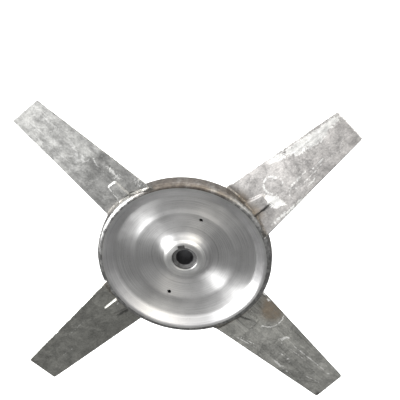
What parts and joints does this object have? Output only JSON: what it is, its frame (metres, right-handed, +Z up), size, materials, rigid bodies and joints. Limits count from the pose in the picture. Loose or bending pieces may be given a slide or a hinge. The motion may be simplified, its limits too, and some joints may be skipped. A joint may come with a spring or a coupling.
{
  "type": "impeller",
  "caption": "Cast aluminium axial fan impeller with broad, slightly twisted blades on a dished hub with a counterbored, key-slotted shaft bore.",
  "frame": {"origin": "on the shaft axis, half way through the depth of the hub rim", "axes": "+Y along the shaft from the dished front with the key slot to the back, +Z up with the blades at 45 degrees to it, +X to the right seen from the front"},
  "size_m": [0.4706, 0.0505, 0.4706],
  "materials": {
    "rim": "machined edge on a dull casting",
    "web": "turned, faint rings",
    "boss": "turned",
    "blade": "as cast, scraped and streaked",
    "rib": "as cast"
  },
  "bodies": {
    "root": {"hub_rim": "rim", "hub_web": "web", "hub_boss": "boss", "blade_1": "blade", "blade_2": "blade", "blade_3": "blade", "blade_4": "blade", "root_rib_front_1": "rib", "root_rib_front_2": "rib", "root_rib_front_3": "rib", "root_rib_front_4": "rib", "root_rib_back_1": "rib", "root_rib_back_2": "rib", "root_rib_back_3": "rib", "root_rib_back_4": "rib"}
  },
  "joints": []
}
